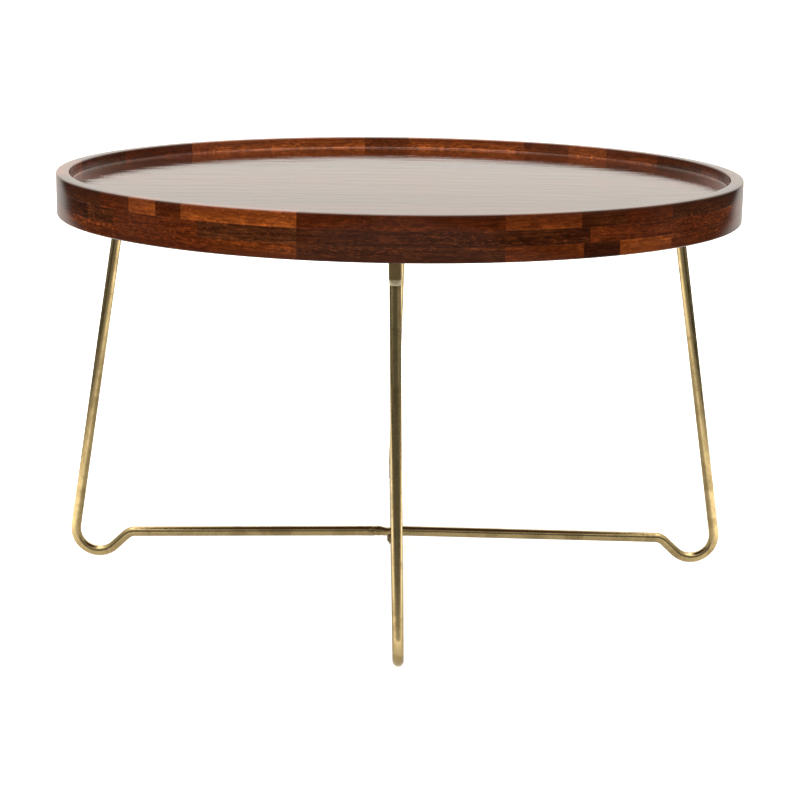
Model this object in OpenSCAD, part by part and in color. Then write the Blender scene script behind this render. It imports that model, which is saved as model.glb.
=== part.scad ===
// Round tray-top table: a recessed plank panel in a laminated wooden hoop,
// on two bent rods that cross near the floor and end in four screwed plates.
// Origin: on the floor under the middle of the tray. +Z up, front towards -Y.

/* [Tray] */
// Outside diameter of the hoop
tray_d = 800; // [700:10:900]
// Height of the hoop's top edge above the floor
table_h = 480; // [440:5:560]
// Height of the hoop
rim_h = 48; // [42:1:60]
// Thickness of the hoop
rim_t = 15; // [12:0.5:20]
// Rounding of the hoop's long edges
rim_ease = 1.5; // [0.5:0.25:3]
// Depth of the panel's top face below the hoop's top edge
recess = 14; // [8:1:20]
// Thickness of the panel
panel_t = 18; // [15:1:22]
// Depth of the groove that the hoop holds the panel in
groove = 6; // [4:0.5:8]
// Depth of the step around the panel's top face, where its edge goes under the hoop
rebate = 2; // [1:0.5:4]
// Radius of the filled cove between hoop and panel
cove = 2.5; // [1:0.25:4]
// Number of planks in the panel
planks = 9; // [9:9]
// Number of arc segments in the hoop
segments = 12; // [12:12]
// Number of strips on top of each other in a segment
courses = 3; // [3:3]
// Glue line between neighbouring pieces of wood
glue = 0.2; // [0.1:0.05:0.4]

/* [Base] */
// Diameter of the round rod
rod_d = 12; // [10:0.5:14]
// Lean of the legs from upright
lean = 9; // [6:0.5:11]
// Distance from the middle to the foot bend's centre
foot_reach = 364.3; // [350:0.1:366]
// Centreline radius of the foot bend
foot_bend = 28.1; // [25:0.1:30]
// Slope of the rod between the foot and the stretcher
rise = 43; // [38:1:48]
// Centreline radius of the bend above that slope
knee_bend = 16; // [12:1:18]
// Height of the stretcher's centreline at that bend
knee_z = 31; // [28:0.5:33]
// Height of the lower rod's centreline where the rods cross
cross_z = 23.6; // [20:0.1:25]
// Sideways slant of the front and back legs: their tops lie to the left of their feet, seen from outside
slant = 1.2; // [0:0.1:1.5]
// Height at which a slanted leg stands in its upright place
slant_z = 140; // [120:5:160]

/* [Leg tops] */
// Height at which the rod begins to flatten
tab_z = 399; // [390:1:405]
// Length of the shoulder between round and flat
shoulder = 7; // [5:1:10]
// Width of the flattened end
tab_w = 13.6; // [13:0.1:15]
// Thickness of the flattened end
tab_t = 7; // [6:0.5:9]
// Length of a mounting plate, away from the middle
plate_l = 60; // [52:1:80]
// Width of a mounting plate
plate_w = 38; // [30:1:60]
// Thickness of a mounting plate
plate_t = 4; // [3:0.5:6]
// Height of the weld fillet under a mounting plate
fillet_h = 3; // [2:0.5:5]
// Distance between a plate's screws along its length
screw_along = 44; // [36:1:46]
// Distance between a plate's screws across its width
screw_across = 22; // [18:1:24]
// Diameter of a screw's thread
screw_d = 4; // [3:0.5:4.5]
// Length of a screw's thread
screw_l = 16; // [10:1:18]
// Diameter of a screw's head where it meets the plate
head_d = 8; // [7:0.5:9]
// Height of a screw's head
head_h = 2.6; // [2:0.1:3]
// Width of the slots of a screw's cross recess
slot_w = 1; // [0.8:0.1:1.2]

/* [Hidden] */

$fn = 180;
// Sides of the swept rods, and steps around the knee bend and around the foot bend
// before and after its lowest point
sides = 24;
knee_steps = 8;
foot_in_steps = 9;
foot_out_steps = 20;
// Radius of the weld at the crossing, its reach to the left and upwards, and its play
weld_r = 9.5;
weld_reach = [-2.5, 0, 3];
weld_fit = 0.2;
// Radii of a weld fillet at its foot and at the plate
fillet_r = [7.5, 10];
// Play of a screw in its hole, narrowing of its head, and length and depth of its slots
screw_play = 0.4;
head_taper = 2;
slot_l = 4;
slot_depth = 1.4;
eps = 0.01;
rim_r = tray_d / 2;
bore_r = rim_r - rim_t;
panel_r = bore_r + groove - glue;
panel_top = table_h - recess;
panel_low = panel_top - panel_t;
tongue_top = panel_top - rebate;
face_r = bore_r - cove - glue;
course_h = rim_h / courses;
segment_angle = 360 / segments;
plank_w = 2 * panel_r / planks;
rod_r = rod_d / 2;
plate_low = panel_low - plate_t;
// Angles from a segment's start to the butt joints in its three strips,
// top strip first; the front segment comes first, the others run anticlockwise.
butt_joints = [
    [[], [], []],
    [[12, 20], [13.5], [12.5, 19]],
    [[18], [10], []],
    [[], [14], [9, 21]],
    [[16], [7, 22], [12]],
    [[9], [19], []],
    [[13, 22], [], [17]],
    [[], [11], [8, 20]],
    [[19], [6, 15], [24]],
    [[8], [20], [13]],
    [[22.5], [18, 26], [26.5]],
    [[6, 11], [14], [16]]
];
// Centres of the foot bend and of the knee bend, and where the slope leaves the foot bend,
// each as a distance from the middle and a height.
foot_c = [foot_reach, foot_bend + rod_r];
foot_start = foot_c + foot_bend * [-sin(rise), -cos(rise)];
knee_cz = knee_z - knee_bend;
knee_end_z = knee_cz + knee_bend * cos(rise);
knee_end = [foot_start.x - (knee_end_z - foot_start.y) / tan(rise), knee_end_z];
knee_c = knee_end - knee_bend * [sin(rise), cos(rise)];
leg_start = foot_c + foot_bend * [cos(lean), sin(lean)];
tab_x = leg_start.x - tan(lean) * (plate_low - leg_start.y);
upper_z = cross_z + rod_d + 0.1;
// Slope of a stretcher that starts at height z in the middle and is tangent to the knee bend
function knee_span(z) = norm([knee_c.x, knee_c.y - z]);
function heading(z) = atan2(knee_c.y - z, knee_c.x) + asin(knee_bend / knee_span(z));

// Cross-section of the hoop, with its groove for the panel and the bead and cove over its edge
module rim_section() {
    difference() {
        translate([bore_r, table_h - rim_h]) square([rim_t, rim_h]);
        for (side = [0, 1], end = [0, 1])
            translate([bore_r + side * rim_t, table_h - rim_h + end * rim_h])
                mirror([side, 0]) mirror([0, end]) edge_waste();
        translate([bore_r - eps, panel_low - glue / 2])
            square([groove + eps, tongue_top - panel_low + glue]);
    }
    translate([bore_r - cove, tongue_top + glue / 2]) difference() {
        square([cove + eps, rebate - glue / 2 + cove]);
        translate([0, rebate - glue / 2 + cove]) circle(r = cove, $fn = 48);
    }
}

// What rounding takes off a corner at the origin that faces -X and -Y
module edge_waste() {
    difference() {
        translate([-1, -1]) square(rim_ease + 1);
        translate([rim_ease, rim_ease]) circle(r = rim_ease, $fn = 48);
    }
}

// One strip of the hoop between two angles measured from the front
module strip(course, from, to) {
    gap = asin(glue / 2 / rim_r);
    high = table_h - course * course_h - (course == 0 ? 0 : glue / 2);
    low = table_h - (course + 1) * course_h + (course == courses - 1 ? 0 : glue / 2);
    rotate([0, 0, from - 90 + gap]) rotate_extrude(angle = to - from - 2 * gap) intersection() {
        rim_section();
        translate([bore_r - 2 * cove, low]) square([rim_t + 4 * cove, high - low]);
    }
}

module rim_segment(k) {
    start = (k - 0.5) * segment_angle;
    color(k % 2 == 0 ? "saddlebrown" : "sienna") for (c = [0 : courses - 1]) {
        cuts = concat([0], butt_joints[k][c], [segment_angle]);
        for (i = [0 : len(cuts) - 2]) strip(c, start + cuts[i], start + cuts[i + 1]);
    }
}

module panel_plank(k) {
    color(k % 2 == 0 ? "peru" : "chocolate") intersection() {
        translate([0, 0, panel_low]) {
            cylinder(h = panel_t, r = face_r);
            cylinder(h = panel_t - rebate, r = panel_r);
        }
        translate([-panel_r, -panel_r + k * plank_w + glue / 2, panel_low])
            cube([2 * panel_r, plank_w - glue, panel_t]);
        screw_clearance();
    }
}

// Everything but the pilot holes of the screws
module screw_clearance() {
    difference() {
        translate([-rim_r, -rim_r, panel_low]) cube([tray_d, tray_d, panel_t]);
        at_screws() translate([0, 0, plate_low]) cylinder(h = screw_l + eps, d = screw_d);
    }
}

// A rod is swept through stations: [distance from the middle, height, heading, radius, half thickness].
// A heading of 0 runs outwards along +X, and a positive one climbs.
function along(station, s) =
    concat([station.x + s * cos(station.z), station.y + s * sin(station.z)], [for (i = [2 : 4]) station[i]]);
function arc_station(c, radius, turn, h) =
    [c.x - turn * radius * sin(h), c.y + turn * radius * cos(h), h, rod_r, rod_r];
function half_path(middle_z) =
    let (slope = heading(middle_z), leg = arc_station(foot_c, foot_bend, -1, 90 + lean),
        round_end = along(leg, (tab_z - leg.y) / cos(lean)))
    concat(
        [for (i = [0 : knee_steps])
            arc_station(knee_c, knee_bend, 1, slope - (slope + rise) * i / knee_steps)],
        [for (i = [-foot_in_steps : foot_out_steps])
            arc_station(foot_c, foot_bend, -1,
                i < 0 ? rise * i / foot_in_steps : (90 + lean) * i / foot_out_steps)],
        [round_end, pressed(along(round_end, shoulder))]);
function pressed(station) = [station.x, station.y, station.z, tab_w / 2, tab_t / 2];
function mirrored(station) = [-station.x, station.y, -station.z, station[3], station[4]];
function clamp(v, limit) = max(-limit, min(limit, v));
// The outline at a station: a circle, cut flat on both faces where the half thickness is smaller
function ring(station) = [for (k = [0 : sides - 1])
    let (u = clamp(station[3] * cos(k * 360 / sides), station[4]))
        [station.x - u * sin(station.z), station[3] * sin(k * 360 / sides),
            station.y + u * cos(station.z)]];
// The same outline carried along the rod to a level cut at height z
function level_ring(station, z) = [for (p = ring(station))
    [p.x + (z - p.z) / tan(station.z), p.y, z]];
// Sideways shift of a slanted rod at a distance from the middle and a height
function aside(x, z, angle) = -tan(angle) * (z - slant_z) * x / foot_reach;

module bent_rod(middle_z, angle = 0) {
    right = half_path(middle_z);
    last = len(right) - 1;
    left = [for (i = [last : -1 : 0]) mirrored(right[i])];
    rings = concat([level_ring(left[0], plate_low)], [for (s = left) ring(s)],
        [ring([0, middle_z, 0, rod_r, rod_r])],
        [for (s = right) ring(s)], [level_ring(right[last], plate_low)]);
    walls = [for (i = [0 : len(rings) - 2], k = [0 : sides - 1])
        let (a = i * sides + k, b = i * sides + (k + 1) % sides) each
            [[a, b, b + sides], [a, b + sides, a + sides]]];
    top = len(rings) * sides;
    caps = [for (k = [0 : sides - 1])
        let (a = k, b = (k + 1) % sides) each
            [[b, a, top], [top - sides + a, top - sides + b, top + 1]]];
    tab_tops = [for (side = [-1, 1]) [side * tab_x, 0, plate_low]];
    points = [for (p = concat([for (r = rings) each r], tab_tops)) [p.x, p.y + aside(p.x, p.z, angle), p.z]];
    color("darkkhaki") polyhedron(points = points, faces = concat(walls, caps));
}

module side_rod() bent_rod(upper_z);

module front_back_rod() rotate([0, 0, 90]) bent_rod(cross_z, slant);

// Places its children at each screw of a plate that lies along +X
module at_plate_screws() {
    for (i = [-0.5, 0.5], j = [-0.5, 0.5])
        translate([tab_x + i * screw_along, j * screw_across, 0]) children();
}

module at_screws() {
    for (a = [0 : 90 : 270]) rotate([0, 0, a]) at_plate_screws() children();
}

module mounting_plate(a) {
    color("goldenrod") rotate([0, 0, a]) difference() {
        translate([tab_x - plate_l / 2, -plate_w / 2, plate_low]) cube([plate_l, plate_w, plate_t]);
        at_plate_screws() translate([0, 0, plate_low - eps])
            cylinder(h = plate_t + 2 * eps, d = screw_d + screw_play);
    }
}

module plate_screws() {
    color("dimgray") at_screws() {
        translate([0, 0, plate_low - head_h]) difference() {
            cylinder(h = head_h, d1 = head_d - head_taper, d2 = head_d);
            translate([0, 0, -eps]) for (a = [0, 90]) rotate([0, 0, a])
                translate([-slot_l / 2, -slot_w / 2, 0]) cube([slot_l, slot_w, slot_depth]);
        }
        translate([0, 0, plate_low - eps]) cylinder(h = screw_l, d = screw_d);
    }
}

// Weld fillet round a leg that lies towards +X, with room for the leg's flattened end
module fillet(angle) {
    high = aside(tab_x, plate_low, angle);
    low = aside(tab_x + tan(lean) * fillet_h, plate_low - fillet_h, angle);
    difference() {
        translate([tab_x, high, plate_low - fillet_h])
            cylinder(h = fillet_h, r1 = fillet_r[0], r2 = fillet_r[1]);
        translate([tab_x, high, plate_low]) rotate([atan((low - high) / fillet_h), -lean, 0])
            linear_extrude(height = 4 * fillet_h, center = true) intersection() {
                circle(d = tab_w + weld_fit);
                square([tab_t + weld_fit, 2 * tab_w], center = true);
            }
    }
}

// Weld where the rods cross, heavier towards the left, and a fillet where each leg meets its plate
module weld_beads() {
    color("olive") {
        difference() {
            translate([0, 0, cross_z] + weld_reach) sphere(r = weld_r);
            translate([0, 0, upper_z]) rotate([0, 90, 0])
                cylinder(h = 4 * weld_r, r = rod_r + weld_fit, center = true);
            translate([0, 0, cross_z]) rotate([90, 0, 0])
                cylinder(h = 4 * weld_r, r = rod_r + weld_fit, center = true);
        }
        for (a = [0 : 90 : 270]) rotate([0, 0, a]) fillet(a % 180 == 0 ? 0 : slant);
    }
}

for (k = [0 : segments - 1])
    rim_segment(k);
for (k = [0 : planks - 1])
    panel_plank(k);
side_rod();
front_back_rod();
mounting_plate(0);  // mounting_plate_right
mounting_plate(90);  // mounting_plate_back
mounting_plate(180);  // mounting_plate_left
mounting_plate(270);  // mounting_plate_front
plate_screws();
weld_beads();
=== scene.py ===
import math
import random

import bmesh
import bpy
from mathutils import Matrix, Vector, noise


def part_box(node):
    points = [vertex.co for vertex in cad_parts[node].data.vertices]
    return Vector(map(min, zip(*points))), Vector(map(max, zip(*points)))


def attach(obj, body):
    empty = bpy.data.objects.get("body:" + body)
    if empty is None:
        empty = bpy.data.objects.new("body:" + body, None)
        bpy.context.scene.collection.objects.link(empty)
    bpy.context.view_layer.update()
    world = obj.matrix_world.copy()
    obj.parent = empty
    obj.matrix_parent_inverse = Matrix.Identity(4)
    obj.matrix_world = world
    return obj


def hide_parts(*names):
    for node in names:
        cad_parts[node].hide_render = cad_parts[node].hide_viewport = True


bl_info = {
    "name": "Tray-Top Table",
    "version": (1, 0, 0),
    "blender": (4, 5, 0),
    "location": "View3D > Sidebar > Tray Table",
    "description": "Dresses the packed frame of a round wooden tray-top table on crossed bent rods",
    "category": "Object",
}

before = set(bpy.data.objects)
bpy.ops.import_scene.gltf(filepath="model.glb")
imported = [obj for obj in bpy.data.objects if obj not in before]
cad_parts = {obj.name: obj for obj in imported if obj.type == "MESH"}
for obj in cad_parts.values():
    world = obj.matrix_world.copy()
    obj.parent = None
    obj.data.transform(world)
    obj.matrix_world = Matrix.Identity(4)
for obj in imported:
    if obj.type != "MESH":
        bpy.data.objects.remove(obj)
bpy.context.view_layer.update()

BODY = "root"
MM = 0.001

# Places that come from the frame.
FRONT_LOW, FRONT_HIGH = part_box("rim_segment_01")
RIM_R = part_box("rim_segment_04")[1].x
TABLE_H = FRONT_HIGH.z
RIM_LOW = FRONT_LOW.z
PANEL_LOW, PANEL_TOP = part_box("panel_plank_05")[0].z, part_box("panel_plank_05")[1].z
PANEL_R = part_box("panel_plank_05")[1].x
PLATE_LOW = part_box("mounting_plate_right")[0].z
PLATE_MIDDLE = sum(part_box("mounting_plate_right"), Vector()) / 2
PLATE_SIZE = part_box("mounting_plate_right")[1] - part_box("mounting_plate_right")[0]

# The hoop: segments, strips on top of each other, and the butt joints in each strip, in degrees
# from the segment's start. The front segment comes first, the others run anticlockwise.
SEGMENTS = 12
COURSES = 3
ARC_STEPS = 6
GLUE = 0.02 * MM
BUTT_JOINTS = (
    ((), (), ()),
    ((12, 20), (13.5,), (12.5, 19)),
    ((18,), (10,), ()),
    ((), (14,), (9, 21)),
    ((16,), (7, 22), (12,)),
    ((9, 19), (19,), ()),
    ((13, 22), (), (17,)),
    ((), (11,), (8, 20)),
    ((19,), (6, 15), (24,)),
    ((8,), (20,), (13,)),
    ((22.5,), (18, 26), (26.5,)),
    ((6, 11), (14,), (16,)),
)
# The stain of each strip, in the same order.
STRIP_STAINS = (
    ("walnut", "ebony", "umber"),
    ("chestnut umber russet", "ebony russet", "chestnut ebony amber"),
    ("dusk dusk", "russet chestnut", "chestnut"),
    ("russet", "umber walnut", "chestnut walnut russet"),
    ("umber chestnut", "walnut ebony russet", "amber walnut"),
    ("amber chestnut amber", "russet umber", "walnut"),
    ("amber chestnut amber", "ebony", "russet chestnut"),
    ("amber", "walnut umber", "umber russet amber"),
    ("russet dusk", "ebony russet walnut", "walnut chestnut"),
    ("walnut amber", "umber russet", "chestnut umber"),
    ("umber russet", "ebony umber russet", "chestnut russet"),
    ("amber walnut amber", "russet dusk", "russet chestnut"),
)
# The panel, from the front plank to the back one.
PLANK_STAINS = "umber walnut ebony umber walnut umber ebony walnut umber"
REBATE = 2 * MM
TONGUE_TOP = PANEL_TOP - REBATE
PLANK_STEPS = 24

# The bent rods: the same path as the frame's.
ROD_R = 6 * MM
LEAN = math.radians(9)
FOOT_CENTRE = Vector((364.3 * MM, 34.1 * MM))
FOOT_BEND = 28.1 * MM
RISE = math.radians(43)
KNEE_BEND = 16 * MM
KNEE_Z = 31 * MM
LOWER_Z = 23.6 * MM
UPPER_Z = LOWER_Z + 2 * ROD_R + 0.1 * MM
# Sideways slant of the front and back legs, and the height at which they stand in their upright place.
SLANT = math.radians(1.2)
SLANT_Z = 140 * MM
# Heights of the points on a leg, and steps of the path elsewhere.
LEG_STOPS = (120 * MM, 200 * MM, 300 * MM)
STRETCHER_STEPS = 24
KNEE_STEPS = 12
FOOT_IN_STEPS = 16
FOOT_OUT_STEPS = 36

# The flattened tops of the legs.
TAB_Z = 399 * MM
SHOULDER = 7 * MM
SHOULDER_STEPS = 6
TAB_HALF_W = 6.8 * MM
TAB_HALF_T = 3.5 * MM
# How much less metallic the tabs are, and their shoulders once more; there the duller metal and the pale
# colour make a painted highlight.
TAB_DULLNESS = 0.45

# The plates, their screws and the welds.
SIDES = ("right", "back", "left", "front")
SCREW_ALONG = 44 * MM
SCREW_ACROSS = 22 * MM
SCREW_SIDES = 32
SLOT_HALF_W = 0.55 * MM
SLOT_HALF_L = 2.2 * MM
SLOT_DEPTH = 1.3 * MM
# Width of the recess at its bottom, as a part of its mouth.
SLOT_FLOOR = 0.7
# A screw's head as (part of its radius, part of its height).
HEAD_PROFILE = ((1.0, 0.0), (1.0, 0.25), (0.93, 0.62), (0.76, 0.88), (0.6, 1.0))
BEAD_R = 2.6 * MM
BEAD_TURNS = 72
BEAD_SIDES = 12
WELD_CENTRE = Vector((-1.6 * MM, 0, LOWER_Z + 2.6 * MM))
WELD_SIZE = Vector((8.3, 8.5, 8.4)) * MM

# Dents on the upper rod beside the weld: where they start and end, the dip between them, and the
# stretch around the middle that has closer points for them.
DENTS_FROM = -48 * MM
DENTS_TO = 2 * MM
DENTS_REACH = 60 * MM
DENT_STEPS = 16
DENT_DEPTH = 0.5 * MM
DIP_X = -10 * MM
DIP_WIDTH = 6 * MM
DIP_DEPTH = 2.2 * MM

# The noises of the wood: scale along and across the grain, detail, roughness and distortion.
GRAIN_NOISES = {
    "fibres": (22, 560, 4.0, 0.65, 0.4),
    "bands": (6, 150, 3.0, 0.6, 1.4),
    "clouds": (34, 95, 3.0, 0.6, 0.9),
    "flecks": (150, 620, 3.0, 0.7, 0.8),
    "pores": (90, 2400, 2.0, 0.6, 0.0),
    "patches": (9, 30, 2.0, 0.5, 0.6),
    "ripple": (9, 38, 2.0, 0.5, 0.5),
    "waves": (16, 75, 2.0, 0.5, 0.8),
}
LIGHT_TONE = (2.9, 2.8, 2.4, 1.0)
DARK_TONE = (0.4, 0.32, 0.28, 1.0)
LACQUER_IOR = 1.6
LACQUER_RELIEF = 0.12 * MM
METAL_RELIEF = 0.04 * MM

# The stage: lamps as (name, place, size, power), and the room's glow as (axis of the view, start and
# end along it, strength at both).
FLOOR_HALF = 30.0
LAMPS = (
    ("key", Vector((-0.7, -3.1, 2.3)), 1.5, 82.0),
    ("overhead", Vector((0.0, 0.3, 3.4)), 2.6, 10.0),
)
LAMP_TARGET = Vector((0, 0, 0.3))
ROOM_COLOUR = (1.0, 0.96, 0.885, 1.0)
ROOM_GLOW = (
    ("Y", -1.0, 0.1, 0.12, 0.56),
    ("Y", 0.5, 0.95, 0.0, 0.46),
    ("Z", 0.4, 0.7, 0.0, 0.4),
    ("Z", 0.8, 0.95, 0.0, 2.4),
)
BACKDROP_STRENGTH = 1.1
POOL_COLOUR = (1.0, 0.95, 0.88, 1.0)

# The camera: lens and sensor in mm, place in m, and turns in degrees.
CAMERA_LENS = 87.86
CAMERA_SENSOR = 36
CAMERA_REACH = 100
CAMERA_PLACE = (-0.0008, -2.3036, 0.7386)
CAMERA_PITCH = 13.14
CAMERA_ROLL = 0.78
CAMERA_YAW = 0.11
CAMERA_ORBIT = 0.25


# ---------------------------------------------------------------- settings

class TrayTableSizes(bpy.types.PropertyGroup):
    """Sizes of the small details that the frame leaves plain."""

    rim_thickness: bpy.props.FloatProperty(
        name="Rim thickness", description="Thickness of the hoop",
        default=15 * MM, unit="LENGTH")
    rim_ease: bpy.props.FloatProperty(
        name="Rim easing", description="Rounding of the hoop's long edges",
        default=1.5 * MM, unit="LENGTH")
    groove: bpy.props.FloatProperty(
        name="Groove", description="Depth of the groove that holds the panel",
        default=6 * MM, unit="LENGTH")
    cove: bpy.props.FloatProperty(
        name="Cove", description="Radius of the cove between hoop and panel",
        default=2.5 * MM, unit="LENGTH")
    joint_chamfer: bpy.props.FloatProperty(
        name="Joint chamfer", description="Chamfer where two pieces of wood meet",
        default=0.08 * MM, unit="LENGTH")
    arc_step: bpy.props.FloatProperty(
        name="Arc step", description="Angle between two sections of the hoop",
        default=math.radians(0.5), unit="ROTATION")
    rod_sides: bpy.props.IntProperty(
        name="Rod sides", description="Sides of a swept rod", default=48, min=12)
    plate_corner: bpy.props.FloatProperty(
        name="Plate corner", description="Corner radius of a mounting plate",
        default=3 * MM, unit="LENGTH")
    plate_edge: bpy.props.FloatProperty(
        name="Plate edge", description="Broken edge of a mounting plate",
        default=0.6 * MM, unit="LENGTH")
    head_diameter: bpy.props.FloatProperty(
        name="Screw head", description="Diameter of a screw's head",
        default=8 * MM, unit="LENGTH")
    head_height: bpy.props.FloatProperty(
        name="Screw head height", description="Height of a screw's head",
        default=2.6 * MM, unit="LENGTH")


def paint(red, green, blue):
    """A linear colour from a mixed one given as 0 to 255."""
    def linear(c):
        c = c / 255
        return c / 12.92 if c <= 0.04045 else ((c + 0.055) / 1.055) ** 2.4
    return (linear(red), linear(green), linear(blue))


def colour(label, about, red, green, blue):
    """A colour setting whose default is mixed from 0 to 255."""
    return bpy.props.FloatVectorProperty(
        name=label, description=about, default=paint(red, green, blue),
        subtype="COLOR", size=3, min=0, max=1)


class TrayTableColours(bpy.types.PropertyGroup):
    """Stains and metals."""

    ebony: colour("Ebony", "Darkest stain of the wood", 66, 31, 14)
    umber: colour("Umber", "Dark brown stain", 76, 37, 16)
    walnut: colour("Walnut", "Middle red-brown stain", 83, 36, 13)
    russet: colour("Russet", "Lighter red-brown stain", 92, 41, 16)
    chestnut: colour("Chestnut", "Brown-orange stain", 106, 50, 19)
    amber: colour("Amber", "Lightest, orange stain", 142, 72, 29)
    dusk: colour("Dusk", "Grey-brown stain", 78, 41, 21)
    brass: colour("Brass", "Rubbed parts of the brass finish", 206, 184, 134)
    patina: colour("Patina", "Aged parts of the brass finish", 128, 106, 66)
    # The pale shoulder colour is a painted highlight: it stands in for the bright band of light on each
    # leg just under its tab.
    painted_shoulder_highlight: colour("Painted shoulder highlight", "Painted highlight on the leg shoulders", 252, 244, 206)
    zinc: colour("Zinc", "Screws", 150, 146, 138)
    floor: colour("Floor", "Studio floor", 245, 244, 242)


class TrayTableSettings(bpy.types.PropertyGroup):
    """All settings of the table."""

    sizes: bpy.props.PointerProperty(type=TrayTableSizes)
    colours: bpy.props.PointerProperty(type=TrayTableColours)


# ---------------------------------------------------------------- nodes

class Value:
    """A socket that can be used in Python sums, each of which adds a Math node."""

    def __init__(self, tree, socket):
        self.tree = tree
        self.socket = socket

    def sum(self, operation, first, second):
        """A Math node on two values or numbers."""
        settings = {"operation": operation}
        return self.tree.node("ShaderNodeMath", settings, {0: first, 1: second})

    def __add__(self, other):
        return self.sum("ADD", self, other)

    def __radd__(self, other):
        return self.sum("ADD", other, self)

    def __sub__(self, other):
        return self.sum("SUBTRACT", self, other)

    def __rsub__(self, other):
        return self.sum("SUBTRACT", other, self)

    def __mul__(self, other):
        return self.sum("MULTIPLY", self, other)

    def __truediv__(self, other):
        return self.sum("DIVIDE", self, other)


class Tree:
    """A node tree that is built one node at a time."""

    def __init__(self, nodes_and_links):
        self.tree = nodes_and_links

    def node(self, kind, settings=None, inputs=None, out=0):
        """Makes a node, sets it, feeds its sockets and gives one of its outputs."""
        made = self.tree.nodes.new(kind)
        for key, value in (settings or {}).items():
            setattr(made, key, value)
        for key, value in (inputs or {}).items():
            if isinstance(value, Value):
                self.tree.links.new(value.socket, made.inputs[key])
            elif value is not None:
                made.inputs[key].default_value = value
        return Value(self, made.outputs[out]) if len(made.outputs) else None

    def spread(self, value, low, high, to_low=0.0, to_high=1.0):
        """Maps low..high to to_low..to_high, softly and clamped."""
        settings = {"interpolation_type": "SMOOTHSTEP"}
        inputs = {0: value, 1: low, 2: high, 3: to_low, 4: to_high}
        return self.node("ShaderNodeMapRange", settings, inputs)

    def along(self, vector, axis):
        """The part of a vector along X, Y or Z."""
        return self.node("ShaderNodeSeparateXYZ", None, {0: vector}, axis)


class Finish(Tree):
    """A material built on one Principled shader."""

    def __init__(self, name):
        self.material = bpy.data.materials.new(name)
        self.material.use_nodes = True
        super().__init__(self.material.node_tree)
        self.tree.nodes.clear()

    def close(self, inputs):
        """Adds the shader with its inputs, and the output."""
        shader = self.node("ShaderNodeBsdfPrincipled", None, inputs)
        self.node("ShaderNodeOutputMaterial", None, {"Surface": shader})
        return self.material

    def attribute(self, name, out):
        """An attribute of the mesh, as the output that is asked for."""
        return self.node("ShaderNodeAttribute", {"attribute_name": name}, None, out)

    def object_place(self):
        return self.node("ShaderNodeTexCoord", None, None, "Object")

    def stretched(self, place, factors):
        """A place multiplied axis by axis."""
        settings = {"operation": "MULTIPLY"}
        return self.node("ShaderNodeVectorMath", settings, {0: place, 1: factors})

    def noise(self, place, scale, detail=3.0, roughness=0.5, distortion=0.0):
        inputs = {
            "Vector": place, "Scale": scale, "Detail": detail,
            "Roughness": roughness, "Distortion": distortion}
        return self.node("ShaderNodeTexNoise", None, inputs)

    def mix(self, first, second, factor, blend="MIX"):
        settings = {"data_type": "RGBA", "blend_type": blend}
        return self.node("ShaderNodeMix", settings, {0: factor, 6: first, 7: second}, 2)

    def toned(self, body, tone, mask, low, high, depth):
        """Mixes a tone into the body where a mask runs from low to high."""
        return self.mix(body, tone, self.spread(mask, low, high, 0.0, depth))

    def bump(self, height, distance):
        """Relief that is as deep as the distance where the height goes up by one."""
        inputs = {"Height": height, "Distance": distance, "Strength": 1.0}
        return self.node("ShaderNodeBump", None, inputs)


def rgba(colour_value, brightness=1.0):
    """A colour with full alpha, as the sockets want it."""
    return (*(c * brightness for c in colour_value), 1.0)


def grain_noises(finish, grain):
    """The noises of GRAIN_NOISES by name, laid along the grain."""
    noises = {}
    for name, (along, across, detail, roughness, distortion) in GRAIN_NOISES.items():
        place = finish.stretched(grain, (along, across, across))
        noises[name] = finish.noise(place, 1.0, detail, roughness, distortion)
    return noises


def wood_finish(name, rough_low, rough_high, gloss, glint_and_fleck, wavy):
    """Stained wood under lacquer; reads the pieces' own grain, stain and edge attributes.

    gloss is the strength of the lacquer's shine, glint_and_fleck that of the painted glints and the dark
    flecks, and wavy the height of the lacquer's waves.
    """
    finish = Finish(name)
    stain = finish.attribute("stain", "Color")
    edge = finish.attribute("edge", "Fac")
    wood = grain_noises(finish, finish.attribute("grain", "Vector"))
    light = finish.mix(stain, LIGHT_TONE, 1.0, "MULTIPLY")
    dark = finish.mix(stain, DARK_TONE, 1.0, "MULTIPLY")
    body = finish.toned(stain, light, wood["clouds"], 0.5, 0.7, 0.5)
    body = finish.toned(body, dark, wood["clouds"], 0.48, 0.3, 0.6)
    body = finish.toned(body, dark, wood["bands"], 0.5, 0.64, 0.75)
    body = finish.toned(body, dark, wood["fibres"], 0.48, 0.62, 0.75)
    # Painted glints: the light flecks, gathered in patches, are a lightened colour that stands in for
    # light glinting in the lacquered grain.
    where = finish.spread(wood["patches"], 0.42, 0.6, 0.3, 1.0)
    bright = finish.spread(wood["flecks"], 0.53, 0.68, 0.0, glint_and_fleck) * where
    body = finish.mix(body, light, bright)
    body = finish.toned(body, dark, wood["flecks"], 0.48, 0.36, glint_and_fleck * 0.8)
    body = finish.toned(body, dark, wood["pores"], 0.6, 0.72, 0.7)
    # Painted shade: the eased and chamfered edges are darkened and stand in for the dark lines of shade
    # along them.
    body = finish.mix(body, dark, edge * 0.6)
    rough = finish.spread(wood["fibres"], 0.3, 0.7, rough_low, rough_high)
    relief = wood["fibres"] * 0.12 - wood["pores"] * 0.08
    relief = relief + wood["ripple"] * wavy + wood["waves"] * (wavy * 0.6)
    return finish.close({
        "Base Color": body,
        "Roughness": rough,
        "IOR": LACQUER_IOR,
        "Specular IOR Level": gloss,
        "Normal": finish.bump(relief, LACQUER_RELIEF),
    })


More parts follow.
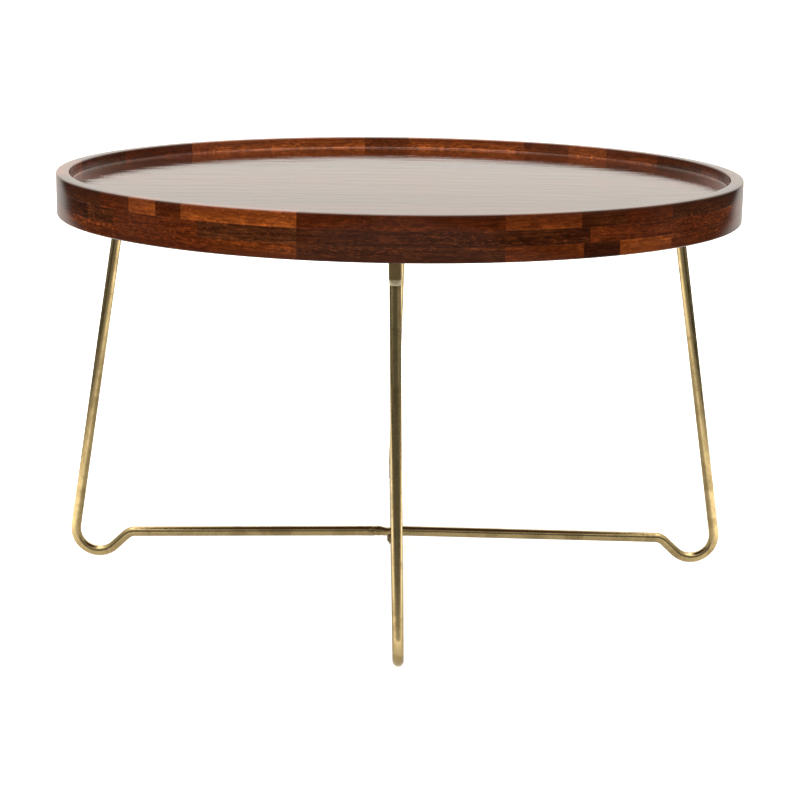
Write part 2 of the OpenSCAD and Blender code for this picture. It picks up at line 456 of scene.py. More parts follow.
def brass_finish(name, colours, darkness, rough_low, rough_high, shade=1.0, painted_shoulder_highlight=0.0):
    """Aged brass: rubbed bright, with darker patina in patches, fine specks and scuffs.

    With painted_shoulder_highlight at 1, the rod above TAB_Z is duller and the shoulders there are paler:
    a painted highlight.
    """
    finish = Finish(name)
    place = finish.object_place()
    clouds = finish.noise(place, 38.0, 4.0, 0.6, 0.4)
    specks = finish.noise(place, 420.0, 3.0, 0.6)
    scuffs = finish.noise(finish.stretched(place, (90, 90, 26)), 6.0, 3.0, 0.65, 1.5)
    aged = rgba(colours.patina, shade)
    body = finish.toned(rgba(colours.brass, shade), aged, clouds, 0.42, 0.68, darkness)
    body = finish.toned(body, rgba(colours.patina, 0.45), specks, 0.64, 0.8, 0.35)
    body = finish.toned(body, rgba(colours.brass, 1.1), scuffs, 0.6, 0.72, 0.4)
    rough = finish.spread(clouds, 0.3, 0.7, rough_low, rough_high) + specks * 0.04
    relief = specks * 0.7 + scuffs * 0.3
    height = finish.along(place, "Z")
    tab = finish.spread(height, TAB_Z, TAB_Z + 1 * MM)
    # Painted highlight: the shoulder band just above TAB_Z is made pale and duller to stand in for the
    # bright light caught there.
    shoulder_highlight_mask = tab * finish.spread(height, TAB_Z + 5.5 * MM, TAB_Z + SHOULDER, 1.0, 0.0)
    body = finish.mix(body, rgba(colours.painted_shoulder_highlight), shoulder_highlight_mask * painted_shoulder_highlight)
    return finish.close({
        "Base Color": body,
        "Metallic": 1.0 - tab * painted_shoulder_highlight * TAB_DULLNESS - shoulder_highlight_mask * painted_shoulder_highlight * TAB_DULLNESS,
        "Roughness": rough,
        "Normal": finish.bump(relief, METAL_RELIEF),
    })


def zinc_finish(name, colours):
    """Dull zinc plating with darker clouds."""
    finish = Finish(name)
    clouds = finish.noise(finish.object_place(), 300.0, 4.0, 0.6)
    return finish.close({
        "Base Color": finish.toned(rgba(colours.zinc), rgba(colours.zinc, 0.4), clouds, 0.45, 0.7, 1.0),
        "Metallic": 1.0,
        "Roughness": finish.spread(clouds, 0.3, 0.7, 0.32, 0.55),
        "Normal": finish.bump(clouds, 0.05 * MM),
    })


def floor_finish(colours):
    """White paper for the eye, and for everything else a pale pool of light round the table."""
    finish = Finish("studio_floor")
    place = finish.object_place()
    clouds = finish.noise(place, 3.0, 2.0)
    body = finish.mix(rgba(colours.floor), rgba(colours.floor, 0.97), clouds)
    paper = finish.node("ShaderNodeBsdfPrincipled", None, {
        "Base Color": body,
        "Roughness": 0.8,
        "Emission Color": body,
        "Emission Strength": 0.75,
    })
    across = finish.along(place, "X")
    behind = finish.along(place, "Y")
    further = finish.node("ShaderNodeMath", {"operation": "MAXIMUM"}, {0: behind, 1: 0.0})
    aside = across / (further * 0.3 + 1.35)
    reach = across * across + behind * behind
    # The pool ends at the sides and in front, is weaker under the table and fades behind it.
    pool = finish.spread(aside * aside, 0.9, 1.7, 1.0, 0.05)
    pool = pool * finish.spread(behind, -1.3, -0.1, 0.12, 1.0)
    pool = pool * finish.spread(reach, 0.06, 0.35, 0.55, 1.9)
    pool = pool * finish.spread(behind, 0.1, 0.7, 1.0, 0.36)
    mirrored = finish.node("ShaderNodeEmission", None, {"Color": POOL_COLOUR, "Strength": pool})
    direct = finish.node("ShaderNodeLightPath", None, None, "Is Camera Ray")
    both = finish.node("ShaderNodeMixShader", None, {0: direct, 1: mirrored, 2: paper})
    finish.node("ShaderNodeOutputMaterial", None, {"Surface": both})
    return finish.material


# ---------------------------------------------------------------- mesh helpers

def new_piece(name, mesh, material, slot, *nodes):
    """Links a finished mesh as a piece that stands for CAD nodes."""
    piece = bpy.data.objects.new(name, mesh)
    bpy.context.scene.collection.objects.link(piece)
    mesh.materials.clear()
    mesh.materials.append(material)
    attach(piece, BODY)
    if nodes:
        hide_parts(*nodes)
    return piece


def mesh_from(bm, name, smooth_below=math.radians(35)):
    """Turns a bmesh into a mesh, with its faces outward and its corners kept crisp."""
    bmesh.ops.recalc_face_normals(bm, faces=bm.faces)
    mesh = bpy.data.meshes.new(name)
    bm.to_mesh(mesh)
    bm.free()
    mesh.shade_smooth()
    mesh.set_sharp_from_angle(angle=smooth_below)
    return mesh


def close_ring(bm, low, high):
    """Faces between two closed rings of vertices."""
    for i in range(len(low)):
        j = (i + 1) % len(low)
        bm.faces.new((low[i], low[j], high[j], high[i]))


def add_rings(bm, rings):
    """Skins closed rings of points and caps both ends; gives the rings' vertices."""
    made = [[bm.verts.new(p) for p in ring] for ring in rings]
    for low, high in zip(made, made[1:]):
        close_ring(bm, low, high)
    bm.faces.new(list(reversed(made[0])))
    bm.faces.new(made[-1])
    return made


def wood_layers(bm):
    """The attributes that the wood finish reads."""
    layers = bm.verts.layers
    grain = layers.float_vector.new("grain")
    stain = layers.float_color.new("stain")
    edge = layers.float.new("edge")
    return grain, stain, edge


def mark_wood(vert, layers, grain, stain, edge):
    """Fills a vertex's wood attributes."""
    for layer, value in zip(layers, (grain, stain, edge)):
        vert[layer] = value


def random_shift(draw):
    """Somewhere else in the wood's pattern, so that no two pieces look the same."""
    return Vector((draw.random(), draw.random(), draw.random())) * 7


def arc(cx, cz, radius, start, end):
    """Points on an arc, angles in degrees."""
    points = []
    for i in range(ARC_STEPS + 1):
        a = math.radians(start + (end - start) * i / ARC_STEPS)
        points.append((cx + radius * math.cos(a), cz + radius * math.sin(a)))
    return points


# ---------------------------------------------------------------- the hoop

def course_heights(course):
    """Low and high edge of a strip's height, less half a glue line where it meets another strip."""
    height = (TABLE_H - RIM_LOW) / COURSES
    high = TABLE_H - course * height
    low = high - height
    if course > 0:
        high -= GLUE / 2
    if course < COURSES - 1:
        low += GLUE / 2
    return low, high


def course_profile(course, sizes):
    """Section of one strip as (distance from the middle, height, edge), anticlockwise; edge is how much
    painted shade darkens that point.
    """
    low, high = course_heights(course)
    outer = RIM_R
    bore = RIM_R - sizes.rim_thickness
    c = sizes.joint_chamfer
    e = sizes.rim_ease
    if course == 0:
        plain = [(outer - c, low), (outer, low + c)]
        eased = arc(outer - e, high - e, e, 0, 90) + arc(bore + e, high - e, e, 90, 180)
        cove = sizes.cove
        foot = arc(bore - cove, PANEL_TOP + cove, cove, 0, -90) + [(bore - cove, low)]
        return ([(r, z, 0.0) for r, z in plain] + [(r, z, 1.0) for r, z in eased]
                + [(r, z, 0.0) for r, z in foot])
    if course == 1:
        inner = bore + sizes.groove
        plain = [(outer - c, low), (outer, low + c), (outer, high - c), (outer - c, high),
                 (inner, high), (inner, low)]
        return [(r, z, 0.0) for r, z in plain]
    eased = arc(bore + e, low + e, e, 180, 270) + arc(outer - e, low + e, e, 270, 360)
    plain = [(outer, high - c), (outer - c, high), (bore, high)]
    return [(r, z, 1.0) for r, z in eased] + [(r, z, 0.0) for r, z in plain]


def add_strip(bm, layers, profile, start, end, stain, shift, sizes):
    """One strip of the hoop between two angles in degrees, measured from the front."""
    gap = GLUE / 2 / RIM_R
    first = math.radians(start) + gap
    last = math.radians(end) - gap
    steps = max(2, round((last - first) / sizes.arc_step))
    angles = [first + (last - first) * i / steps for i in range(steps + 1)]
    rings = []
    for a in angles:
        rings.append([(r * math.sin(a), -r * math.cos(a), z) for r, z, _ in profile])
    for a, ring in zip(angles, add_rings(bm, rings)):
        for vert, (r, z, edge) in zip(ring, profile):
            mark_wood(vert, layers, Vector((a * RIM_R, r, z)) + shift, rgba(stain), edge)


class TRAYTABLE_OT_rim(bpy.types.Operator):
    """Makes the twelve laminated segments of the hoop."""

    bl_idname = "traytable.rim"
    bl_label = "Rim segments"

    def execute(self, context):
        settings = context.scene.tray_table
        sizes = settings.sizes
        wood = wood_finish("lacquered_rim", rough_low=0.08, rough_high=0.15, gloss=0.3,
                           glint_and_fleck=0.9, wavy=0.5)
        draw = random.Random(12)
        profiles = [course_profile(course, sizes) for course in range(COURSES)]
        for k in range(SEGMENTS):
            bm = bmesh.new()
            layers = wood_layers(bm)
            start = (k - 0.5) * 360 / SEGMENTS
            for course in range(COURSES):
                cuts = (0, *BUTT_JOINTS[k][course], 360 / SEGMENTS)
                stains = STRIP_STAINS[k][course].split()
                for i, stain in enumerate(stains):
                    add_strip(bm, layers, profiles[course], start + cuts[i], start + cuts[i + 1],
                              getattr(settings.colours, stain), random_shift(draw), sizes)
            name = f"rim_{k + 1:02d}"
            mesh = mesh_from(bm, name)
            new_piece(name, mesh, wood, "rim_wood", f"rim_segment_{k + 1:02d}")
        return {"FINISHED"}


# ---------------------------------------------------------------- the panel

def plank_loop(low_y, high_y, radius, z, inset):
    """Outline of a plank at one height: a strip cut to a circle, anticlockwise."""
    def angle(y):
        return math.asin(max(-1.0, min(1.0, y / radius)))
    first = angle(low_y + inset)
    last = angle(high_y - inset)
    right = []
    left = []
    for i in range(PLANK_STEPS + 1):
        a = first + (last - first) * i / PLANK_STEPS
        right.append((radius * math.cos(a), radius * math.sin(a), z))
        left.append((-radius * math.cos(a), radius * math.sin(a), z))
    return right + list(reversed(left))


def add_plank(bm, layers, low_y, high_y, face_r, stain, shift, chamfer):
    """A plank whose ends have a tongue that goes under the hoop."""
    # Height, radius of the outline, how far the long edges stand back, and how much painted shade darkens
    # the edge.
    levels = [
        (PANEL_LOW, PANEL_R - chamfer, chamfer, 1.0),
        (PANEL_LOW + chamfer, PANEL_R, 0.0, 0.0),
        (TONGUE_TOP - chamfer, PANEL_R, 0.0, 0.0),
        (TONGUE_TOP, PANEL_R - chamfer, 0.0, 0.0),
        (TONGUE_TOP, face_r, 0.0, 0.0),
        (PANEL_TOP - chamfer, face_r, 0.0, 0.0),
        (PANEL_TOP, face_r - chamfer, chamfer, 1.0),
        (PANEL_TOP, face_r - 2 * chamfer, 2 * chamfer, 0.0),
    ]
    loops = []
    for z, radius, inset, _ in levels:
        loops.append([bm.verts.new(p) for p in plank_loop(low_y, high_y, radius, z, inset)])
    for low, high in zip(loops, loops[1:]):
        close_ring(bm, low, high)
    count = len(loops[0])
    for loop, up in ((loops[0], False), (loops[-1], True)):
        for i in range(PLANK_STEPS):
            quad = (loop[i], loop[i + 1], loop[count - 2 - i], loop[count - 1 - i])
            bm.faces.new(quad if up else tuple(reversed(quad)))
    for loop, (_, _, _, edge) in zip(loops, levels):
        for vert in loop:
            mark_wood(vert, layers, vert.co + shift, rgba(stain), edge)
    bmesh.ops.remove_doubles(bm, verts=bm.verts, dist=0.00001)


class TRAYTABLE_OT_panel(bpy.types.Operator):
    """Makes the nine planks of the recessed panel."""

    bl_idname = "traytable.panel"
    bl_label = "Panel planks"

    def execute(self, context):
        settings = context.scene.tray_table
        sizes = settings.sizes
        wood = wood_finish("lacquered_panel", rough_low=0.03, rough_high=0.07, gloss=0.45,
                           glint_and_fleck=0.4, wavy=2.0)
        face_r = RIM_R - sizes.rim_thickness - sizes.cove - GLUE
        draw = random.Random(9)
        stains = PLANK_STAINS.split()
        width = 2 * PANEL_R / len(stains)
        for k, stain in enumerate(stains):
            bm = bmesh.new()
            layers = wood_layers(bm)
            low_y = -PANEL_R + k * width + GLUE / 2
            high_y = low_y + width - GLUE
            add_plank(bm, layers, low_y, high_y, face_r,
                      getattr(settings.colours, stain), random_shift(draw), sizes.joint_chamfer)
            name = f"plank_{k + 1:02d}"
            mesh = mesh_from(bm, name)
            new_piece(name, mesh, wood, "panel_wood", f"panel_plank_{k + 1:02d}")
        return {"FINISHED"}


# ---------------------------------------------------------------- the rods

def stretcher_heading(middle_z, knee_centre):
    """Slope of a stretcher that starts at a height in the middle and meets the knee bend."""
    fall = knee_centre.y - middle_z
    return math.atan2(fall, knee_centre.x) + math.asin(KNEE_BEND / math.hypot(knee_centre.x, fall))


def rod_path(middle_z):
    """Right half of a rod's centreline as (distance from the middle, height)."""
    down_rise = Vector((math.sin(RISE), math.cos(RISE)))
    foot_start = FOOT_CENTRE - FOOT_BEND * down_rise
    knee_end_z = KNEE_Z - KNEE_BEND + KNEE_BEND * math.cos(RISE)
    knee_end = Vector((foot_start.x - (knee_end_z - foot_start.y) / math.tan(RISE), knee_end_z))
    knee_centre = knee_end - KNEE_BEND * down_rise
    slope = stretcher_heading(middle_z, knee_centre)
    points = [Vector((0.0, middle_z))]
    first = knee_centre + KNEE_BEND * Vector((-math.sin(slope), math.cos(slope)))
    for i in range(1, STRETCHER_STEPS):
        points.append(points[0].lerp(first, i / STRETCHER_STEPS))
    for i in range(KNEE_STEPS + 1):
        h = slope - (slope + RISE) * i / KNEE_STEPS
        points.append(knee_centre + KNEE_BEND * Vector((-math.sin(h), math.cos(h))))
    for i in range(-FOOT_IN_STEPS, FOOT_OUT_STEPS + 1):
        h = RISE * i / FOOT_IN_STEPS if i < 0 else (math.pi / 2 + LEAN) * i / FOOT_OUT_STEPS
        points.append(FOOT_CENTRE + FOOT_BEND * Vector((math.sin(h), -math.cos(h))))
    leg = points[-1]
    upward = Vector((-math.tan(LEAN), 1.0))
    heights = [*LEG_STOPS, TAB_Z - ROD_R, TAB_Z]
    for i in range(1, SHOULDER_STEPS + 1):
        heights.append(TAB_Z + SHOULDER * math.cos(LEAN) * i / SHOULDER_STEPS)
    heights += [PLATE_LOW - 8 * MM, PLATE_LOW + ROD_R]
    return points + [leg + upward * (z - leg.y) for z in heights]


def refine(points, reach):
    """Adds close points to the stretch nearest the middle, for the dents."""
    fine = []
    for a, b in zip(points, points[1:]):
        pieces = DENT_STEPS if a.x < reach else 1
        for i in range(pieces):
            fine.append(a.lerp(b, i / pieces))
    fine.append(points[-1])
    return fine


def slant_shift(x, z):
    """Sideways shift of the slanted front and back legs, in the rod's own plane before it is turned."""
    return -math.tan(SLANT) * (z - SLANT_Z) * x / FOOT_CENTRE.x


def sweep_tree():
    """Geometry nodes that sweep a circle along a path."""
    group = bpy.data.node_groups.new("sweep_rod", "GeometryNodeTree")
    face = group.interface
    face.new_socket("Geometry", in_out="INPUT", socket_type="NodeSocketGeometry")
    face.new_socket("Radius", in_out="INPUT", socket_type="NodeSocketFloat")
    face.new_socket("Sides", in_out="INPUT", socket_type="NodeSocketInt")
    face.new_socket("Material", in_out="INPUT", socket_type="NodeSocketMaterial")
    face.new_socket("Geometry", in_out="OUTPUT", socket_type="NodeSocketGeometry")
    tree = Tree(group)
    start = group.nodes.new("NodeGroupInput")
    path, radius, sides, material = (Value(tree, s) for s in start.outputs[:4])
    line = tree.node("GeometryNodeMeshToCurve", None, {"Mesh": path})
    ring = tree.node("GeometryNodeCurvePrimitiveCircle", {"mode": "RADIUS"},
                     {"Resolution": sides, "Radius": radius})
    skin = tree.node("GeometryNodeCurveToMesh", None,
                     {"Curve": line, "Profile Curve": ring, "Fill Caps": True})
    skin = tree.node("GeometryNodeRealizeInstances", None, {"Geometry": skin})
    skin = tree.node("GeometryNodeSetMaterial", None, {"Geometry": skin, "Material": material})
    tree.node("NodeGroupOutput", None, {"Geometry": skin})
    return group


def run_tree(holder, group, values, name):
    """Runs a node tree on an object, with its named inputs, and gives the plain mesh."""
    modifier = holder.modifiers.new("made", "NODES")
    modifier.node_group = group
    sockets = {s.name: s.identifier for s in group.interface.items_tree if s.in_out == "INPUT"}
    for key, value in values.items():
        modifier[sockets[key]] = value
    context = bpy.context
    made = holder.evaluated_get(context.evaluated_depsgraph_get())
    mesh = bpy.data.meshes.new_from_object(made)
    mesh.name = name
    holder.modifiers.remove(modifier)
    bpy.data.objects.remove(holder)
    return mesh


def path_holder(points):
    """An object with the rod's whole centreline as edges."""
    whole = [Vector((-p.x, 0, p.y)) for p in reversed(points[1:])]
    whole += [Vector((p.x, 0, p.y)) for p in points]
    mesh = bpy.data.meshes.new("path")
    mesh.from_pydata(whole, [(i, i + 1) for i in range(len(whole) - 1)], [])
    holder = bpy.data.objects.new("path", mesh)
    bpy.context.scene.collection.objects.link(holder)
    return holder


def press_ends(bm):
    """Flattens the rod's ends into tabs and cuts them level under the plates."""
    leg_foot = FOOT_CENTRE + FOOT_BEND * Vector((math.cos(LEAN), math.sin(LEAN)))
    tab_along = (TAB_Z - leg_foot.y) / math.cos(LEAN)
    for vert in bm.verts:
        if vert.co.z <= TAB_Z - 1 * MM:
            continue
        side = math.copysign(1.0, vert.co.x)
        axis = Vector((-side * math.tan(LEAN), 1.0)).normalized()
        across = Vector((axis.y, -axis.x)) * side
        base = Vector((side * leg_foot.x, leg_foot.y))
        offset = Vector((vert.co.x, vert.co.z)) - base
        along = offset.dot(axis)
        press = max(0.0, min(1.0, (along - tab_along) / SHOULDER))
        press = press * press * (3 - 2 * press)
        limit = ROD_R + (TAB_HALF_T - ROD_R) * press
        out = max(-limit, min(limit, offset.dot(across)))
        place = base + axis * along + across * out
        if place.y > PLATE_LOW:
            place += axis * ((PLATE_LOW - place.y) / axis.y)
        vert.co = (place.x, vert.co.y * (1 + (TAB_HALF_W / ROD_R - 1) * press), place.y)


def hammer_near_weld(bm, middle_z):
    """A shallow dip and small dents on the upper rod, just left of the crossing."""
    for vert in bm.verts:
        x = vert.co.x
        if not DENTS_FROM < x < DENTS_TO or vert.co.z > 2 * KNEE_Z:
            continue
        fade = math.sin(math.pi * (x - DENTS_FROM) / (DENTS_TO - DENTS_FROM)) ** 2
        dip = math.exp(-((x - DIP_X) / DIP_WIDTH) ** 2)
        outward = Vector((0.0, vert.co.y, vert.co.z - middle_z)).normalized()
        dents = noise.noise(vert.co * 260) * DENT_DEPTH * fade
        vert.co += outward * (dents - DIP_DEPTH * dip * max(0.0, outward.z))


class TRAYTABLE_OT_rods(bpy.types.Operator):
    """Sweeps the two bent rods and presses their ends flat."""

    bl_idname = "traytable.rods"
    bl_label = "Bent rods"

    def execute(self, context):
        settings = context.scene.tray_table
        brass = brass_finish("aged_rod", settings.colours, darkness=0.5, rough_low=0.13, rough_high=0.24,
                             painted_shoulder_highlight=1.0)
        tree = sweep_tree()
        self.make_rod(settings, tree, brass, "side_rod", UPPER_Z)
        self.make_rod(settings, tree, brass, "front_back_rod", LOWER_Z, turned=True)
        return {"FINISHED"}

    def make_rod(self, settings, tree, brass, name, middle_z, turned=False):
        """One rod; the turned one runs from front to back, with its legs slanted."""
        points = rod_path(middle_z)
        if not turned:
            points = refine(points, DENTS_REACH)
        values = {"Radius": ROD_R, "Sides": settings.sizes.rod_sides, "Material": brass}
        mesh = run_tree(path_holder(points), tree, values, name)
        bm = bmesh.new()
        bm.from_mesh(mesh)
        bpy.data.meshes.remove(mesh)
        press_ends(bm)
        if turned:
            for vert in bm.verts:
                vert.co.y += slant_shift(vert.co.x, vert.co.z)
            bmesh.ops.rotate(bm, verts=bm.verts, matrix=Matrix.Rotation(math.pi / 2, 3, "Z"))
        else:
            hammer_near_weld(bm, middle_z)
        new_piece("bent_" + name, mesh_from(bm, name), brass, "rod_brass", name)


# ---------------------------------------------------------------- plates, screws and welds

def rounded_rectangle(size_x, size_y, corner):
    """Outline of a plate, anticlockwise from its right side."""
    points = []
    for quarter, (sx, sy) in enumerate(((1, 1), (-1, 1), (-1, -1), (1, -1))):
        cx = sx * (size_x / 2 - corner)
        cy = sy * (size_y / 2 - corner)
        points += arc(cx, cy, corner, 90 * quarter, 90 * quarter + 90)
    return points


class TRAYTABLE_OT_plates(bpy.types.Operator):
    """Makes the four mounting plates with rounded corners and broken edges."""

    bl_idname = "traytable.plates"
    bl_label = "Mounting plates"

    def execute(self, context):
        settings = context.scene.tray_table
        brass = brass_finish("aged_plate", settings.colours, darkness=0.9, rough_low=0.32, rough_high=0.5)
        edge = settings.sizes.plate_edge
        high = PLATE_LOW + PLATE_SIZE.z
        levels = ((PLATE_LOW, edge), (PLATE_LOW + edge * 0.3, edge * 0.3), (PLATE_LOW + edge, 0.0),
                  (high - edge, 0.0), (high, edge))
        for k, side in enumerate(SIDES):
            rings = []
            for z, inset in levels:
                outline = rounded_rectangle(PLATE_SIZE.x - 2 * inset, PLATE_SIZE.y - 2 * inset,
                                            settings.sizes.plate_corner - inset * 0.5)
                rings.append([(PLATE_MIDDLE.x + x, y, z) for x, y in outline])
            bm = bmesh.new()
            add_rings(bm, rings)
            bmesh.ops.rotate(bm, verts=bm.verts, matrix=Matrix.Rotation(k * math.pi / 2, 3, "Z"))
            mesh = mesh_from(bm, "plate_" + side)
            new_piece("plate_" + side, mesh, brass, "plate_brass", "mounting_plate_" + side)
        return {"FINISHED"}


def screw_mesh(sizes):
    """One domed screw head with a cross recess, its seat at the origin, facing down."""
    head_r = sizes.head_diameter / 2
    height = sizes.head_height
    bm = bmesh.new()
    made = []
    for wide, low in HEAD_PROFILE:
        turns = [2 * math.pi * i / SCREW_SIDES for i in range(SCREW_SIDES)]
        ring = [(head_r * wide * math.cos(a), head_r * wide * math.sin(a), -height * low) for a in turns]
        made.append([bm.verts.new(p) for p in ring])
    for low, high in zip(made, made[1:]):
        close_ring(bm, low, high)
    bm.faces.new(made[0])
    cross = []
    for quarter in range(4):
        turn = Matrix.Rotation(quarter * math.pi / 2, 2)
        for point in ((SLOT_HALF_L, -SLOT_HALF_W), (SLOT_HALF_L, SLOT_HALF_W), (SLOT_HALF_W, SLOT_HALF_W)):
            cross.append(turn @ Vector(point))
    mouth = [bm.verts.new((p.x, p.y, -height)) for p in cross]
    floor = [bm.verts.new((p.x * SLOT_FLOOR, p.y * SLOT_FLOOR, SLOT_DEPTH - height)) for p in cross]
    close_ring(bm, mouth, floor)
    bm.faces.new(floor)
    edges = []
    for ring in (made[-1], mouth):
        edges += [bm.edges.get(pair) for pair in zip(ring, ring[1:] + ring[:1])]
    bmesh.ops.triangle_fill(bm, use_beauty=True, edges=edges)
    return mesh_from(bm, "screw", math.radians(40))


def screw_tree():
    """Geometry nodes that set one screw at each corner of a grid, on each of four plates."""
    group = bpy.data.node_groups.new("set_screws", "GeometryNodeTree")
    face = group.interface
    face.new_socket("Geometry", in_out="INPUT", socket_type="NodeSocketGeometry")
    for label, kind in (("Along", "Float"), ("Across", "Float"), ("Reach", "Float"), ("Height", "Float"),
                        ("Plates", "Int"), ("Seed", "Int"), ("Material", "Material")):
        face.new_socket(label, in_out="INPUT", socket_type="NodeSocket" + kind)
    face.new_socket("Geometry", in_out="OUTPUT", socket_type="NodeSocketGeometry")
    tree = Tree(group)
    start = group.nodes.new("NodeGroupInput")
    screw, along, across, reach, height, plates, seed, material = (
        Value(tree, s) for s in start.outputs[:8])
    corners = tree.node("GeometryNodeMeshGrid", None,
                        {"Size X": along, "Size Y": across, "Vertices X": 2, "Vertices Y": 2})
    spot = tree.node("ShaderNodeCombineXYZ", None, {"X": reach, "Z": height})
    corners = tree.node("GeometryNodeTransform", None, {"Geometry": corners, "Translation": spot})
    middle = tree.node("GeometryNodeMeshLine", None, {"Count": plates, "Offset": (0, 0, 0)})
    index = tree.node("GeometryNodeInputIndex")
    quarter = tree.node("ShaderNodeCombineXYZ", None, {"Z": index * (math.pi / 2)})
    spots = tree.node("GeometryNodeInstanceOnPoints", None,
                      {"Points": middle, "Instance": corners, "Rotation": quarter})
    spots = tree.node("GeometryNodeRealizeInstances", None, {"Geometry": spots})
    turn = tree.node("FunctionNodeRandomValue", {"data_type": "FLOAT"},
                     {"Max": 2 * math.pi, "Seed": seed}, "Value")
    facing = tree.node("ShaderNodeCombineXYZ", None, {"Z": turn})
    screws = tree.node("GeometryNodeInstanceOnPoints", None,
                       {"Points": spots, "Instance": screw, "Rotation": facing})
    screws = tree.node("GeometryNodeRealizeInstances", None, {"Geometry": screws})
    screws = tree.node("GeometryNodeSetMaterial", None, {"Geometry": screws, "Material": material})
    tree.node("NodeGroupOutput", None, {"Geometry": screws})
    return group


class TRAYTABLE_OT_screws(bpy.types.Operator):
    """Sets the sixteen screws of the mounting plates."""

    bl_idname = "traytable.screws"
    bl_label = "Plate screws"

    def execute(self, context):
        settings = context.scene.tray_table
        zinc = zinc_finish("dull_zinc", settings.colours)
        holder = bpy.data.objects.new("screw", screw_mesh(settings.sizes))
        context.scene.collection.objects.link(holder)
        values = {
            "Along": SCREW_ALONG, "Across": SCREW_ACROSS, "Reach": PLATE_MIDDLE.x,
            "Height": PLATE_LOW, "Plates": len(SIDES), "Seed": 5, "Material": zinc}
        mesh = run_tree(holder, screw_tree(), values, "screws")
        new_piece("screws", mesh, zinc, "screw_steel", "plate_screws")
        return {"FINISHED"}


def bead_rings():
    """Rings of a closed bead that follows the rounded outline of a leg top under a plate."""
    rings = []
    for i in range(BEAD_TURNS):
        a = 2 * math.pi * i / BEAD_TURNS
        ca = math.cos(a)
        sa = math.sin(a)
        shape = (abs(ca) ** 4 + abs(sa) ** 4) ** -0.25
        spine = Vector((PLATE_MIDDLE.x + TAB_HALF_T * ca * shape, TAB_HALF_W * sa * shape, PLATE_LOW))
        outward = Vector((ca / TAB_HALF_T, sa / TAB_HALF_W, 0)).normalized()
        bead = BEAD_R * (1 + 0.1 * math.sin(a * 18) + 0.12 * noise.noise(spine * 400))
        ring = []
        for j in range(BEAD_SIDES):
            b = 2 * math.pi * j / BEAD_SIDES
            drop = Vector((0, 0, min(0.0, bead * math.sin(b))))
            ring.append(spine + outward * bead * math.cos(b) + drop)
        rings.append(ring)
    return rings


def add_crossing_weld(bm):
    """A lumpy drop of weld between the two rods."""
    bmesh.ops.create_icosphere(bm, subdivisions=5, radius=1.0)
    for vert in bm.verts:
        way = vert.co.normalized()
        lump = 1 + 0.09 * noise.noise(way * 2.3) + 0.035 * noise.noise(way * 7.0)
        lump += 0.025 * math.sin(way.z * 26 + way.x * 5)
        vert.co = WELD_CENTRE + way * WELD_SIZE * lump


def add_leg_bead(bm, k):
    """The bead round a leg's top; the front and back legs stand aside by their slant."""
    aside = Vector((0, slant_shift(PLATE_MIDDLE.x, PLATE_LOW) * (k % 2), 0))
    turn = Matrix.Rotation(k * math.pi / 2, 3, "Z")
    made = [[bm.verts.new(turn @ (p + aside)) for p in ring] for ring in bead_rings()]
    for ring, following in zip(made, made[1:] + made[:1]):
        for j in range(BEAD_SIDES):
            jj = (j + 1) % BEAD_SIDES
            bm.faces.new((ring[j], ring[jj], following[jj], following[j]))


class TRAYTABLE_OT_welds(bpy.types.Operator):
    """Makes the weld at the crossing and a bead where each leg meets its plate."""

    bl_idname = "traytable.welds"
    bl_label = "Weld beads"

    def execute(self, context):
        settings = context.scene.tray_table
        brass = brass_finish("aged_weld", settings.colours, darkness=1.0, rough_low=0.34, rough_high=0.55,
                             shade=0.4)
        bm = bmesh.new()
        add_crossing_weld(bm)
        for k in range(len(SIDES)):
            add_leg_bead(bm, k)
        mesh = mesh_from(bm, "welds", math.radians(60))
        new_piece("welds", mesh, brass, "weld_brass", "weld_beads")
        return {"FINISHED"}


# ---------------------------------------------------------------- stage

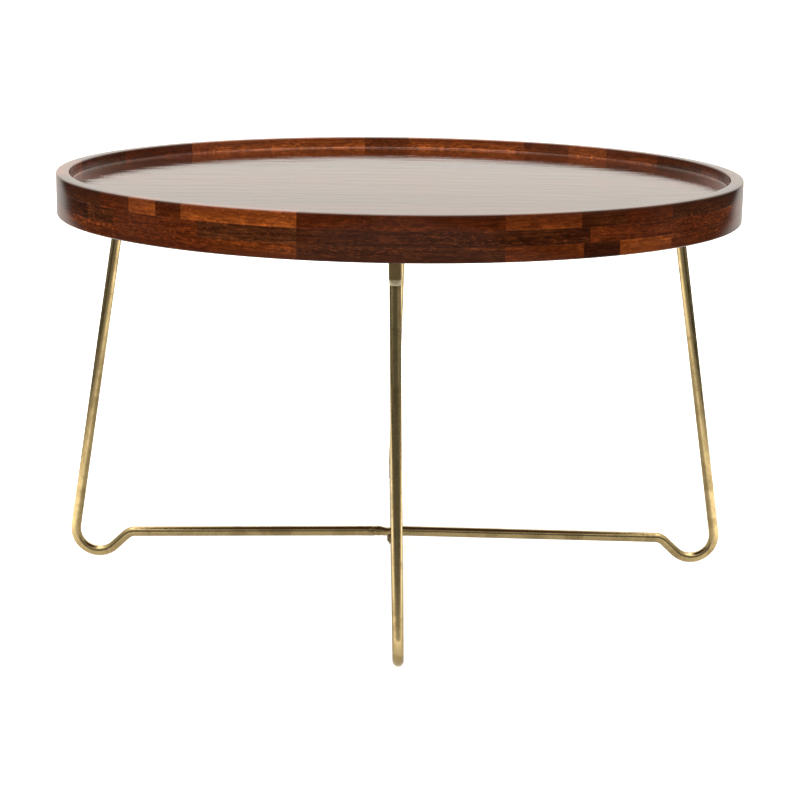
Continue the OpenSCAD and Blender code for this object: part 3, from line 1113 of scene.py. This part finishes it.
class TRAYTABLE_OT_stage(bpy.types.Operator):
    """Sets the pale floor, the soft light and the camera."""

    bl_idname = "traytable.stage"
    bl_label = "Stage, light and camera"

    def execute(self, context):
        settings = context.scene.tray_table
        self.add_floor(context, settings.colours)
        self.add_world(context)
        self.add_lights(context)
        self.add_camera(context)
        context.scene.view_settings.view_transform = "Standard"
        return {"FINISHED"}

    def add_floor(self, context, colours):
        """A wide square at the height of the feet."""
        mesh = bpy.data.meshes.new("floor")
        corners = [(x * FLOOR_HALF, y * FLOOR_HALF, 0) for x, y in ((-1, -1), (1, -1), (1, 1), (-1, 1))]
        mesh.from_pydata(corners, [], [(0, 1, 2, 3)])
        mesh.materials.append(floor_finish(colours))
        floor = bpy.data.objects.new("floor", mesh)
        context.scene.collection.objects.link(floor)

    def add_world(self, context):
        """A white room, darker on the side that the camera stands on."""
        world = bpy.data.worlds.new("studio")
        world.use_nodes = True
        context.scene.world = world
        world.node_tree.nodes.clear()
        tree = Tree(world.node_tree)
        way = tree.node("ShaderNodeTexCoord", None, None, "Generated")
        glow = sum(tree.spread(tree.along(way, axis), *levels) for axis, *levels in ROOM_GLOW)
        room = tree.node("ShaderNodeBackground", None, {"Color": ROOM_COLOUR, "Strength": glow})
        white = {"Color": (1, 1, 1, 1), "Strength": BACKDROP_STRENGTH}
        seen = tree.node("ShaderNodeBackground", None, white)
        direct = tree.node("ShaderNodeLightPath", None, None, "Is Camera Ray")
        both = tree.node("ShaderNodeMixShader", None, {0: direct, 1: room, 2: seen})
        tree.node("ShaderNodeOutputWorld", None, {"Surface": both})

    def add_lights(self, context):
        """Square lamps that give light but are not mirrored."""
        for name, place, size, power in LAMPS:
            light = bpy.data.lights.new(name, "AREA")
            light.size = size
            light.energy = power
            lamp = bpy.data.objects.new(name, light)
            lamp.location = place
            lamp.rotation_euler = (LAMP_TARGET - place).to_track_quat("-Z", "Y").to_euler()
            lamp.visible_glossy = False
            context.scene.collection.objects.link(lamp)

    def add_camera(self, context):
        """A long lens in front of the table, a little above it."""
        camera = bpy.data.cameras.new("camera")
        camera.sensor_width = CAMERA_SENSOR
        camera.lens = CAMERA_LENS
        camera.clip_end = CAMERA_REACH
        turned = (Matrix.Rotation(math.radians(-CAMERA_YAW), 4, "Z")
                  @ Matrix.Rotation(math.radians(90 - CAMERA_PITCH), 4, "X")
                  @ Matrix.Rotation(math.radians(CAMERA_ROLL), 4, "Z"))
        orbit = Matrix.Rotation(math.radians(-CAMERA_ORBIT), 4, "Z")
        eye = bpy.data.objects.new("camera", camera)
        eye.matrix_world = orbit @ Matrix.Translation(CAMERA_PLACE) @ turned
        context.scene.collection.objects.link(eye)
        context.scene.camera = eye


# ---------------------------------------------------------------- panel and main

OPERATORS = (
    TRAYTABLE_OT_stage,
    TRAYTABLE_OT_rim,
    TRAYTABLE_OT_panel,
    TRAYTABLE_OT_rods,
    TRAYTABLE_OT_plates,
    TRAYTABLE_OT_screws,
    TRAYTABLE_OT_welds,
)


class TRAYTABLE_PT_sidebar(bpy.types.Panel):
    """Lists the steps that make the table."""

    bl_idname = "TRAYTABLE_PT_sidebar"
    bl_label = "Tray-Top Table"
    bl_space_type = "VIEW_3D"
    bl_region_type = "UI"
    bl_category = "Tray Table"

    def draw(self, context):
        settings = context.scene.tray_table
        for group in (settings.sizes, settings.colours):
            box = self.layout.box()
            for key in group.bl_rna.properties.keys():
                if key not in {"rna_type", "name"}:
                    box.prop(group, key)
        for operator in OPERATORS:
            self.layout.operator(operator.bl_idname)


CLASSES = (TrayTableSizes, TrayTableColours, TrayTableSettings, *OPERATORS, TRAYTABLE_PT_sidebar)


def register():
    """Adds the classes and the scene's settings."""
    for cls in CLASSES:
        bpy.utils.register_class(cls)
    bpy.types.Scene.tray_table = bpy.props.PointerProperty(type=TrayTableSettings)


def unregister():
    """Takes away what register() adds."""
    del bpy.types.Scene.tray_table
    for cls in reversed(CLASSES):
        bpy.utils.unregister_class(cls)


def main():
    """Makes the table."""
    register()
    bpy.ops.traytable.stage()
    bpy.ops.traytable.rim()
    bpy.ops.traytable.panel()
    bpy.ops.traytable.rods()
    bpy.ops.traytable.plates()
    bpy.ops.traytable.screws()
    bpy.ops.traytable.welds()


if __name__ == "__main__":
    main()
